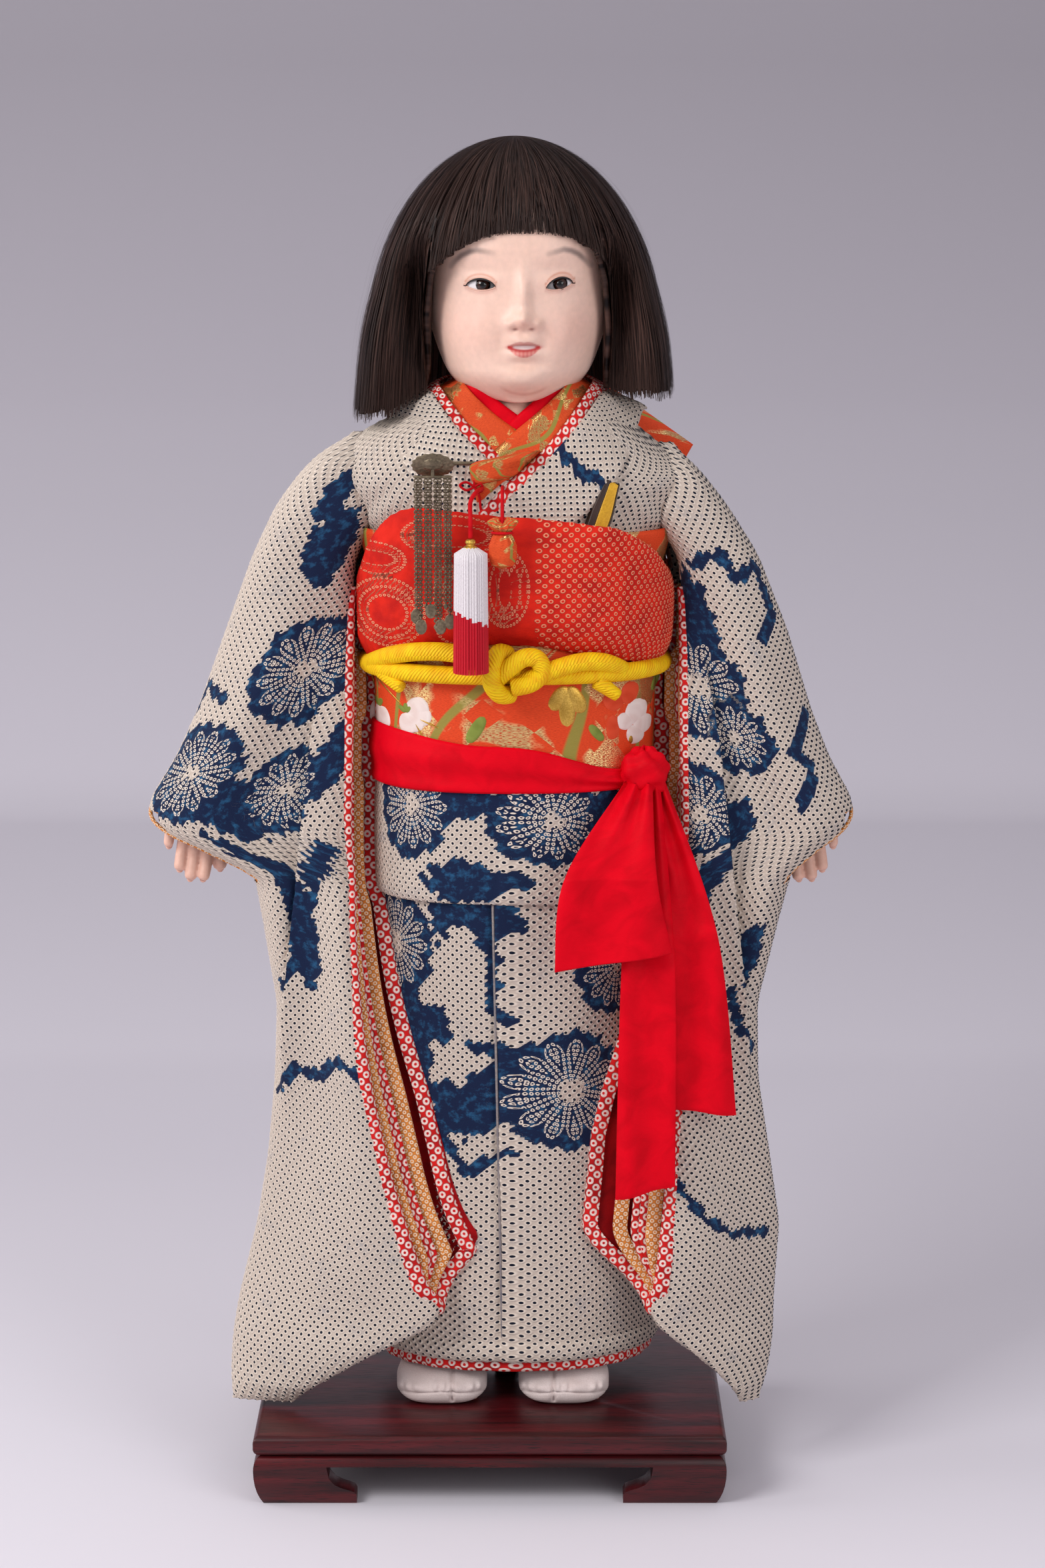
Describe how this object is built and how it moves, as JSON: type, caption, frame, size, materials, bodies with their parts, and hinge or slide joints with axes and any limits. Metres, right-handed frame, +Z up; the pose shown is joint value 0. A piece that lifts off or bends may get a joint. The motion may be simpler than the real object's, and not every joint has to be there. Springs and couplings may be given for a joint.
{
  "type": "ichimatsu doll",
  "caption": "Dressed Japanese play doll in a long-sleeved kimono with obi and sash, standing on a low wooden display stand; head, arms and hands turn.",
  "frame": {"origin": "on the floor under the middle of the whole object's bounding box", "axes": "+Z up, the doll faces -Y, +X to the viewer's right when facing the doll"},
  "size_m": [0.4438, 0.2398, 0.8606],
  "materials": {
    "rosewood": "satin lacquer",
    "gofun": "polished shell white tinted pink",
    "body_cloth": "plain cotton",
    "hair": "combed human-hair look",
    "glass_eye": "polished",
    "kimono_silk": "dotted tie-dyed crepe",
    "red_shibori": "dotted tie-dyed crepe",
    "brocade": "figured brocade",
    "red_silk": "figured satin",
    "yellow_cord": "padded silk cord",
    "gilt_brass": "aged gilt",
    "tabi_cotton": "matt cotton",
    "fan_wood": "dark lacquer",
    "fan_paper": "gilt paper"
  },
  "bodies": {
    "stand": {"stand_top": "rosewood", "stand_front_rail": "rosewood", "stand_back_rail": "rosewood", "stand_left_rail": "rosewood", "stand_right_rail": "rosewood", "support_post": "rosewood"},
    "doll": {"left_tabi": "tabi_cotton", "right_tabi": "tabi_cotton", "left_lower_leg": "gofun", "right_lower_leg": "gofun", "left_thigh": "body_cloth", "right_thigh": "body_cloth", "pelvis": "gofun", "waist_cloth": "body_cloth", "torso": "gofun", "collar_shibori": "red_shibori", "collar_brocade": "brocade", "collar_red": "red_silk", "under_kimono": "red_shibori", "kimono_skirt": "kimono_silk", "kimono_tuck": "kimono_silk", "kimono_bodice": "kimono_silk", "obi": "brocade", "obi_bow_upper": "brocade", "obi_bow_lower": "brocade", "obi_bow_knot": "brocade", "obi_age": "red_shibori", "obi_cord": "yellow_cord", "sash": "red_silk", "sash_knot": "red_silk", "sash_loop": "red_silk", "sash_tail_front": "red_silk", "sash_tail_side": "red_silk", "wallet": "brocade"},
    "head": {"head": "gofun", "left_eye": "glass_eye", "right_eye": "glass_eye", "wig": "hair", "wig_fringe": "hair"},
    "left_arm": {"left_sleeve": "kimono_silk", "left_sleeve_lining": "red_shibori", "left_upper_arm": "body_cloth", "left_forearm": "gofun"},
    "right_arm": {"right_sleeve": "kimono_silk", "right_sleeve_lining": "red_shibori", "right_upper_arm": "body_cloth", "right_forearm": "gofun"},
    "left_hand": {"left_hand": "gofun"},
    "right_hand": {"right_hand": "gofun"},
    "kanzashi": {"kanzashi": "gilt_brass"},
    "chain_1": {"kanzashi_chain_1": "gilt_brass"},
    "chain_2": {"kanzashi_chain_2": "gilt_brass"},
    "chain_3": {"kanzashi_chain_3": "gilt_brass"},
    "chain_4": {"kanzashi_chain_4": "gilt_brass"},
    "tassel": {"tassel_cord": "red_silk", "tassel_cap": "gilt_brass", "tassel_fringe": "red_silk"},
    "pouch": {"pouch": "brocade"},
    "fan": {"fan_leaf": "fan_paper", "fan_guards": "fan_wood"}
  },
  "joints": [
    {"name": "doll_lift", "type": "slide", "parent": "stand", "child": "doll", "axis": [0, 0, 1], "range_m": [0, 0.34]},
    {"name": "head_turn", "type": "hinge", "parent": "doll", "child": "head", "pos_m": [0.008, -0.001, 0.6673], "axis": [0, 0, 1], "range_deg": [-20, 20]},
    {"name": "left_arm_raise", "type": "hinge", "parent": "doll", "child": "left_arm", "pos_m": [-0.10312, -0.005, 0.6683], "axis": [0, 1, 0], "range_deg": [0, 20]},
    {"name": "right_arm_raise", "type": "hinge", "parent": "doll", "child": "right_arm", "pos_m": [0.11912, -0.005, 0.6683], "axis": [0, -1, 0], "range_deg": [0, 20]},
    {"name": "left_wrist_turn", "type": "hinge", "parent": "left_arm", "child": "left_hand", "pos_m": [-0.195, -0.019, 0.4553], "axis": [-0.0595, -0.1189, -0.9911], "range_deg": [-25, 25]},
    {"name": "right_wrist_turn", "type": "hinge", "parent": "right_arm", "child": "right_hand", "pos_m": [0.193, -0.019, 0.4553], "axis": [0.0595, -0.1189, -0.9911], "range_deg": [-25, 25]},
    {"name": "kanzashi_slide", "type": "slide", "parent": "doll", "child": "kanzashi", "axis": [-1, 0, 0], "range_m": [0, 0.04]},
    {"name": "chain_1_swing", "type": "hinge", "parent": "kanzashi", "child": "chain_1", "pos_m": [-0.051, -0.0977, 0.657], "axis": [-1, 0, 0], "range_deg": [0, 30]},
    {"name": "chain_2_swing", "type": "hinge", "parent": "kanzashi", "child": "chain_2", "pos_m": [-0.045, -0.0977, 0.657], "axis": [-1, 0, 0], "range_deg": [0, 30]},
    {"name": "chain_3_swing", "type": "hinge", "parent": "kanzashi", "child": "chain_3", "pos_m": [-0.039, -0.0977, 0.657], "axis": [-1, 0, 0], "range_deg": [0, 30]},
    {"name": "chain_4_swing", "type": "hinge", "parent": "kanzashi", "child": "chain_4", "pos_m": [-0.033, -0.0977, 0.657], "axis": [-1, 0, 0], "range_deg": [0, 30]},
    {"name": "tassel_swing", "type": "hinge", "parent": "doll", "child": "tassel", "pos_m": [-0.01, -0.06066, 0.6483], "axis": [-1, 0, 0], "range_deg": [0, 30]},
    {"name": "pouch_swing", "type": "hinge", "parent": "doll", "child": "pouch", "pos_m": [0.003, -0.06066, 0.6483], "axis": [-1, 0, 0], "range_deg": [0, 30]},
    {"name": "fan_slide", "type": "slide", "parent": "doll", "child": "fan", "axis": [0.2415, 0.0576, 0.9687], "range_m": [0, 0.06]}
  ]
}
